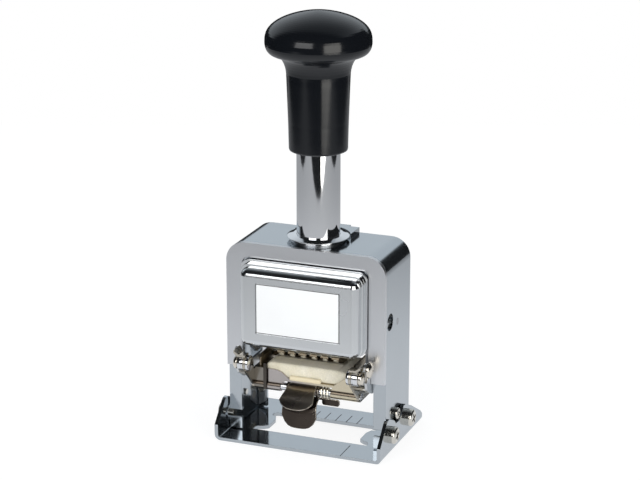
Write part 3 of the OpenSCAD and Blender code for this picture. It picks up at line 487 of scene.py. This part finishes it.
# Retaining springs
# Six flat spring steel fingers riveted on a bar behind the cover. Each bears on one wheel so that
# it stays on its figure, and ends in a small turned up toe just above the cover's lower edge.
def softened(piece, width, segments):
    # Rounds the edges of the piece, which is the active one.
    soft = piece.modifiers.new("edge", "BEVEL")
    soft.width = width
    soft.segments = segments
    soft.limit_method = "ANGLE"
    bpy.ops.object.modifier_apply(modifier="edge")


spring_low, spring_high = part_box("retaining_comb")
spring_steel = plated("spring_steel", (0.78, 0.74, 0.64), 0.12)
bar_r = 0.0009
bar_y, bar_z = spring_low.y + bar_r, spring_high.z - bar_r
toe_z, toe_turn = spring_low.z + 0.0048, (0, -0.0006, -0.0003)
finger_wide, finger_deep, finger_bow, steps = 0.0022, 0.0008, 0.0011, 7
finger_round, bar_round = 0.00012, 0.00015
bpy.ops.object.select_all(action="DESELECT")
bpy.ops.mesh.primitive_plane_add(size=1, location=(0, 0, 0))
finger = bpy.context.object
bpy.ops.object.mode_set(mode="EDIT")
bpy.ops.transform.resize(value=(finger_wide, finger_deep, 1))
bpy.ops.transform.translate(value=(figure_x, bar_y, bar_z))
for step in range(1, steps + 1):
    bow = finger_bow * (math.sin(step / steps * math.pi) - math.sin((step / steps - 1 / steps) * math.pi))
    bpy.ops.mesh.extrude_region_move(TRANSFORM_OT_translate={"value": (0, bow, (toe_z - bar_z) / steps)})
bpy.ops.mesh.extrude_region_move(TRANSFORM_OT_translate={"value": toe_turn})
bpy.ops.mesh.select_all(action="SELECT")
bpy.ops.mesh.normals_make_consistent(inside=False)
bpy.ops.object.mode_set(mode="OBJECT")
softened(finger, finger_round, 2)
fingers = [finger] + [copy_along(finger, "finger_%d" % (i + 1), pitch * i) for i in range(1, 6)]
bpy.ops.object.select_all(action="DESELECT")
bpy.ops.mesh.primitive_cylinder_add(vertices=24, radius=bar_r, depth=spring_high.x - spring_low.x,
                                    location=(0, 0, 0))
bar = bpy.context.object
bpy.ops.object.mode_set(mode="EDIT")
bpy.ops.transform.rotate(value=math.radians(90), orient_axis="Y", center_override=(0, 0, 0))
bpy.ops.transform.translate(value=(0, bar_y, bar_z))
bpy.ops.object.mode_set(mode="OBJECT")
softened(bar, bar_round, 2)
springs = joined([bar] + fingers, "retaining_springs")
bpy.ops.object.shade_smooth_by_angle(angle=math.radians(35))
springs.data.materials.append(spring_steel)
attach(springs, "plunger")
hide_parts("retaining_comb")


# Dial
# A dial moulded from dark plastic, on a post through the case's back. It sets how often a number
# repeats.
dress(moulded("dial_dark", (0.03, 0.03, 0.032), 0.35), "selector_dial")


# Pad carriage
# Pressed nickel plated arms, side plates and a tray that hold the felt pad under the wheels, with
# two finger tabs and a coil spring on the tray's rolled hinge.
dress(plated("arm_satin", (0.7, 0.71, 0.72), 0.3, haze=0.08, bump=0.06), "arm_left", "arm_right")
dress(plated("side_nickel", (0.55, 0.51, 0.44), 0.26, haze=0.2, tint=0.5), "side_plates")


def coloured(tree, share, first, second):
    # Mixes two colours, each a socket or three numbers.
    mix = tree.nodes.new("ShaderNodeMix")
    mix.data_type = "RGBA"
    tree.links.new(share, mix.inputs[0])
    for spot, colour in ((6, first), (7, second)):
        if isinstance(colour, tuple):
            mix.inputs[spot].default_value = (*colour, 1)
        else:
            tree.links.new(colour, mix.inputs[spot])
    return mix.outputs[2]


# The tray is darker left of the dark gap strip, painted shade in the corner by the side plate,
# and warmer at its right end. The upper half of its rolled hinge is painted dark brown: painted
# shade and painted dark reflection.
tray_nickel = plated("tray_nickel", (0.6, 0.56, 0.5), 0.24, haze=0.2, tint=0.5)
tree = tray_nickel.node_tree
place = places(tree)
gap_strip_x, middle_x = (-0.0158, -0.0150), (-0.006, 0.008)
hinge_shade_foot, hinge_shade_top, hinge_shade_share = (0.0204, 0.0209), (0.0218, 0.0222), 0.9
shaded_end, left_grey = (0.27, 0.25, 0.22), (0.5, 0.46, 0.44)
right_gold, hinge_shade_brown = (0.72, 0.64, 0.48), (0.13, 0.1, 0.075)
hinge_shade = reckon(tree, "MULTIPLY", smooth(tree, place["Z"], *hinge_shade_foot, 0, hinge_shade_share),
               smooth(tree, place["Z"], *hinge_shade_top, 1, 0))
tone = coloured(tree, smooth(tree, place["X"], *gap_strip_x), shaded_end, left_grey)
tone = coloured(tree, smooth(tree, place["X"], *middle_x), tone, right_gold)
tone = coloured(tree, hinge_shade, tone, hinge_shade_brown)
tree.links.new(tone, tree.nodes["skin"].inputs["Colour"])
dress(tray_nickel, "pad_tray")


def edge_wear():
    # Brightens the colour along a sheet's cut edges, a painted highlight: there the rounded and the
    # true normal part.
    alike_edge, alike_face = 0.905, 0.985
    group = bpy.data.node_groups.new("edge_wear", "ShaderNodeTree")
    face = group.interface
    face.new_socket("Colour", in_out="INPUT", socket_type="NodeSocketColor")
    face.new_socket("Glint Colour", in_out="INPUT", socket_type="NodeSocketColor")
    face.new_socket("Width", in_out="INPUT", socket_type="NodeSocketFloat")
    face.new_socket("Colour", in_out="OUTPUT", socket_type="NodeSocketColor")
    nodes, links = group.nodes, group.links
    given, made = nodes.new("NodeGroupInput"), nodes.new("NodeGroupOutput")
    true = nodes.new("ShaderNodeNewGeometry")
    rounded = nodes.new("ShaderNodeBevel")
    rounded.samples = 6
    links.new(given.outputs["Width"], rounded.inputs["Radius"])
    alike = nodes.new("ShaderNodeVectorMath")
    alike.operation = "DOT_PRODUCT"
    links.new(true.outputs["Normal"], alike.inputs[0])
    links.new(rounded.outputs["Normal"], alike.inputs[1])
    glint_share = smooth(group, alike.outputs["Value"], alike_edge, alike_face, 1, 0)
    tone = coloured(group, glint_share, given.outputs["Colour"], given.outputs["Glint Colour"])
    links.new(tone, made.inputs["Colour"])
    return group


edge_glint_group = edge_wear()


def worn(material, width, bright):
    tree = material.node_tree
    glint_node = tree.nodes.new("ShaderNodeGroup")
    glint_node.node_tree = edge_glint_group
    glint_node.inputs["Width"].default_value = width
    glint_node.inputs["Glint Colour"].default_value = (*bright, 1)
    tree.links.new(tree.nodes["skin"].outputs["Colour"], glint_node.inputs["Colour"])
    tree.links.new(glint_node.outputs["Colour"], tree.nodes["Principled BSDF"].inputs["Base Color"])
    return material


# The tabs are nickel painted dark brown and the release lever almost black: painted dark reflection. A
# painted highlight runs along their edges.
edge_r = 0.0004
tab_nickel = plated("tab_nickel", (0.33, 0.29, 0.25), 0.28, haze=0.2, tint=1.2, edge=edge_r)
dress(worn(tab_nickel, edge_r, (0.95, 0.88, 0.76)), "upper_finger_tab")
lever_nickel = plated("lever_nickel", (0.062, 0.05, 0.042), 0.26, haze=0.2, tint=1.2, edge=edge_r)
dress(worn(lever_nickel, edge_r, (0.9, 0.82, 0.7)), "release_lever")
dress(spring_steel, "torsion_spring")


# Tray's walls
# The tray's sheet is folded up beside and behind the felt, with a taller ear at each back corner
# that keeps the felt from sliding out.
tray_low, tray_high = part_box("pad_tray")
wall_low = tray_low.z + 0.0066
back_y = tray_high.y - 0.0008
side_x = 0.0178
wall_thick, wall_round = 0.0007, 0.0002
ear = [(0.0194, wall_low), (0.0194, 0.0318), (0.0188, 0.0324), (0.0172, 0.0324), (0.0166, 0.0318),
       (0.0163, 0.0294), (0.0158, 0.0288)]
side = [(-0.0118, wall_low), (0.0046, wall_low), (0.0046, 0.0312), (0.0040, 0.0318), (-0.0104, 0.0318),
        (-0.0118, 0.0302)]
wall_nickel = plated("wall_nickel", (0.3, 0.25, 0.18), 0.26, haze=0.3, tint=0.9)


def drawn(name, points, edges, faces):
    # An object from its points, selected and active.
    mesh = bpy.data.meshes.new(name)
    mesh.from_pydata(points, edges, faces)
    piece = bpy.data.objects.new(name, mesh)
    bpy.context.scene.collection.objects.link(piece)
    bpy.ops.object.select_all(action="DESELECT")
    piece.select_set(True)
    bpy.context.view_layer.objects.active = piece
    return piece


other_ear = [(-x, z) for x, z in reversed(ear)]
for name, outline in (("tray_back_wall", [(x, back_y, z) for x, z in ear + other_ear]),
                      ("tray_left_wall", [(-side_x, y, z) for y, z in side]),
                      ("tray_right_wall", [(side_x, y, z) for y, z in side])):
    wall = drawn(name, outline, [], [list(range(len(outline)))])
    sheet = wall.modifiers.new("sheet", "SOLIDIFY")
    sheet.thickness = wall_thick
    sheet.offset = 0
    bpy.ops.object.modifier_apply(modifier="sheet")
    softened(wall, wall_round, 3)
    bpy.ops.object.mode_set(mode="EDIT")
    bpy.ops.mesh.select_all(action="SELECT")
    bpy.ops.mesh.normals_make_consistent(inside=False)
    bpy.ops.object.mode_set(mode="OBJECT")
    bpy.ops.object.shade_smooth_by_angle(angle=math.radians(35))
    wall.data.materials.append(wall_nickel)
    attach(wall, "pad_carriage")


# Gap shade strip
# A dark metal strip that stands up the tray's front near its left end, from its rolled hinge to
# above the felt: painted shade in the gap between the side plate and the felt.
gap_strip_size, gap_strip_middle = (0.0012, 0.0004, 0.0099), (-0.01525, tray_low.y - 0.0003, 0.02415)
gap_strip = block("gap_shade_strip", gap_strip_size, gap_strip_middle, round_off=0.00014, segments=3)
bpy.ops.object.shade_smooth_by_angle(angle=math.radians(35))
gap_strip.data.materials.append(plated("gap_shade_steel", (0.09, 0.08, 0.07), 0.22, haze=0.1))
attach(gap_strip, "pad_carriage")


# Collars, caps and guide stud
# Turned and chromed collars pinned on the carriage's front corners, each with a domed cap screw in
# its end, and a broad domed stud on the right arm that guides the carriage on the front plate.
def turned(name, hand, outline, middle, material, node):
    # Spins an outline of (place along X, radius) about an axis along X. A hand of -1 mirrors it.
    edges = [(i, i + 1) for i in range(len(outline) - 1)]
    piece = drawn(name, [(hand * x, 0, r) for x, r in outline], edges, [])
    bpy.ops.object.mode_set(mode="EDIT")
    bpy.ops.mesh.select_all(action="SELECT")
    bpy.ops.mesh.spin(steps=48, angle=2 * math.pi, center=(0, 0, 0), axis=(1, 0, 0))
    bpy.ops.mesh.select_all(action="SELECT")
    bpy.ops.mesh.remove_doubles(threshold=0.000001)
    bpy.ops.mesh.normals_make_consistent(inside=False)
    bpy.ops.object.mode_set(mode="OBJECT")
    piece.data.transform(Matrix.Translation(middle))
    bpy.ops.object.shade_smooth_by_angle(angle=math.radians(32))
    piece.data.materials.append(material)
    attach(piece, "pad_carriage")
    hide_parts(node)


def middle_of(low, high):
    # The middle of a box across Y and Z, on the plane X = 0.
    return Vector((0, (low.y + high.y) / 2, (low.z + high.z) / 2))


collar_chrome = plated("collar_chrome", (0.78, 0.79, 0.81), 0.07, haze=0.05, bump=0.02, edge=0)
cap_nickel = plated("cap_nickel", (0.76, 0.71, 0.63), 0.12, haze=0.1, bump=0.03, edge=0)
low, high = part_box("pivot_bosses")
middle = middle_of(low, high)
boss_r = (high.z - low.z) / 2
cap_r = boss_r * 0.9
ring_gap = 0.0009
outer = high.x - boss_r * 0.8
inner = outer - ring_gap
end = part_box("boss_screws")[1].x
# Each outline starts and ends on the axis. The outer ring has a shallow groove round it, and the
# cap's dome ends in a small dimple.
inner_ring = [(inner - 0.00108, 0), (inner - 0.00108, boss_r * 0.9), (inner - 0.00098, boss_r * 0.97),
              (inner - 0.0008, boss_r), (inner - 0.0001, boss_r), (inner, boss_r * 0.97), (inner, 0)]
outer_ring = [(outer, 0), (outer, boss_r * 0.93), (outer + 0.00012, boss_r * 0.99),
              (outer + 0.0003, boss_r), (outer + 0.0005, boss_r), (outer + 0.00056, boss_r * 0.95),
              (outer + 0.00068, boss_r * 0.95), (outer + 0.00074, boss_r), (high.x - 0.0003, boss_r),
              (high.x - 0.0001, boss_r * 0.985), (high.x, boss_r * 0.93), (high.x, 0)]
cap = [(high.x, 0), (high.x, cap_r * 0.86), (high.x + 0.00025, cap_r * 0.86),
       (high.x + 0.00028, cap_r * 0.96), (high.x + 0.0004, cap_r), (high.x + 0.0010, cap_r),
       (high.x + 0.0013, cap_r * 0.96), (high.x + 0.0016, cap_r * 0.83), (high.x + 0.0018, cap_r * 0.6),
       (end, cap_r * 0.3), (end, cap_r * 0.12), (end - 0.0004, cap_r * 0.1), (end - 0.0004, 0)]
for hand, name in ((-1, "left"), (1, "right")):
    turned("collar_inner_" + name, hand, inner_ring, middle, collar_chrome, "pivot_bosses")
    turned("collar_outer_" + name, hand, outer_ring, middle, collar_chrome, "pivot_bosses")
    turned("cap_screw_" + name, hand, cap, middle, cap_nickel, "boss_screws")
low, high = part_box("guide_rollers")
stud_r = (high.z - low.z) / 2
stud = [(low.x, 0), (low.x, stud_r * 0.29), (low.x + 0.00054, stud_r * 0.29),
        (low.x + 0.00054, stud_r * 0.96), (low.x + 0.00064, stud_r), (low.x + 0.0010, stud_r),
        (low.x + 0.0012, stud_r * 0.97), (low.x + 0.0015, stud_r * 0.84),
        (low.x + 0.0018, stud_r * 0.62), (low.x + 0.0020, stud_r * 0.34),
        (low.x + 0.00205, stud_r * 0.16), (low.x + 0.0017, stud_r * 0.12), (low.x + 0.0017, 0)]
turned("guide_stud", 1, stud, middle_of(low, high), cap_nickel, "guide_rollers")


# Felt pad
# A block of pressed wool felt that lies in the tray and holds the ink. The wheels have worn it down
# where they rest on it, and a soft tongue of it lies over the tray's front wall.
pad_low, pad_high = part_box("ink_pad")
felt_top = 0.0293
front_gap = 0.0006
block_size = (pad_high.x - pad_low.x, pad_high.y - pad_low.y - front_gap, felt_top - pad_low.z)
block_middle = (0, (pad_low.y + front_gap + pad_high.y) / 2, (pad_low.z + felt_top) / 2)
block_round = 0.0008
tongue_size, tongue_middle, tongue_round = (0.0122, 0.0016, 0.0019), (0, -0.0129, 0.0246), 0.0007
felt = joined([block("felt_block", block_size, block_middle, block_round, 5),
               block("felt_tongue", tongue_size, tongue_middle, tongue_round, 5)], "felt_pad")
weld = felt.modifiers.new("weld", "REMESH")
weld.mode = "VOXEL"
weld.voxel_size = 0.00028
bpy.ops.object.modifier_apply(modifier="weld")
ease = felt.modifiers.new("ease", "SMOOTH")
ease.factor = 0.5
ease.iterations = 4
bpy.ops.object.modifier_apply(modifier="ease")

# The wheels have worn a trough in the felt's top, with low ridges between them and a slope up at
# each end of their row. The block also sags a little at its own ends, and is unworn below still_z.
still_z, trough_r, ridge_rise = 0.0262, 0.00905, 0.0001
least_top = pad_high.z - 0.0007
row_half, slope_long, ends_drop = 0.0128, 0.0006, 0.0002
end_sag, sag_power = 0.0004, 12
ridge_margin = 0.2
for point in felt.data.vertices:
    x, y, z = point.co
    if z > still_z:
        trough = axle - math.sqrt(max(trough_r ** 2 - y * y, 0))
        # column counts wheels from the left end of their row.
        column = (x - figure_x + pitch / 2) / pitch
        in_row = -ridge_margin < column < len(wheel_names) + ridge_margin
        ridge = 0.5 - 0.5 * math.cos(2 * math.pi * column) if in_row else 1.0
        crown = min(felt_top, max(trough, least_top) + ridge_rise * ridge)
        aside = min(max((abs(x - wheels_middle) - row_half) / slope_long, 0), 1)
        crown += (felt_top - ends_drop - crown) * aside * aside * (3 - 2 * aside)
        crown -= end_sag * (abs(x) / pad_high.x) ** sag_power
        point.co.z = still_z + (z - still_z) * (crown - still_z) / (felt_top - still_z)
bpy.ops.object.shade_smooth()

wool = bpy.data.materials.new("wool_felt")
wool.use_nodes = True
tree = wool.node_tree
nodes, links = tree.nodes, tree.links
bsdf = nodes["Principled BSDF"]
bsdf.inputs["Roughness"].default_value = 0.95
bsdf.inputs["Specular IOR Level"].default_value = 0.1
bsdf.inputs["Sheen Weight"].default_value = 0.25
bsdf.inputs["Sheen Roughness"].default_value = 0.5
where = nodes.new("ShaderNodeTexCoord")
fibres = nodes.new("ShaderNodeTexNoise")
fibres.inputs["Scale"].default_value = 2600
fibres.inputs["Detail"].default_value = 5
fibres.inputs["Distortion"].default_value = 1.2
blotch = nodes.new("ShaderNodeTexNoise")
blotch.inputs["Scale"].default_value = 160
blotch.inputs["Detail"].default_value = 3
for noise in (fibres, blotch):
    links.new(where.outputs["Object"], noise.inputs["Vector"])
cream = nodes.new("ShaderNodeValToRGB")
cream.color_ramp.elements[0].position = 0.3
cream.color_ramp.elements[0].color = (0.82, 0.76, 0.58, 1)
cream.color_ramp.elements[1].position = 0.7
cream.color_ramp.elements[1].color = (0.95, 0.9, 0.76, 1)
links.new(blotch.outputs["Fac"], cream.inputs["Fac"])
shade = nodes.new("ShaderNodeHueSaturation")
links.new(cream.outputs["Color"], shade.inputs["Color"])
speck = smooth(tree, fibres.outputs["Fac"], 0.35, 0.65, 0.88, 1.06, form="LINEAR")
links.new(speck, shade.inputs["Value"])
# The tongue is yellower than the rest of the felt.
tongue_front, tongue_back = -0.0131, -0.0121
tongue_share = smooth(tree, places(tree)["Y"], tongue_front, tongue_back, 1, 0)
links.new(coloured(tree, tongue_share, shade.outputs["Color"], (0.9, 0.79, 0.55)), bsdf.inputs["Base Color"])
nap = nodes.new("ShaderNodeBump")
nap.inputs["Strength"].default_value = 0.5
nap.inputs["Distance"].default_value = 0.0001
links.new(fibres.outputs["Fac"], nap.inputs["Height"])
links.new(nap.outputs["Normal"], bsdf.inputs["Normal"])
felt.data.materials.clear()
felt.data.materials.append(wool)
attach(felt, "pad_carriage")
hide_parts("ink_pad")
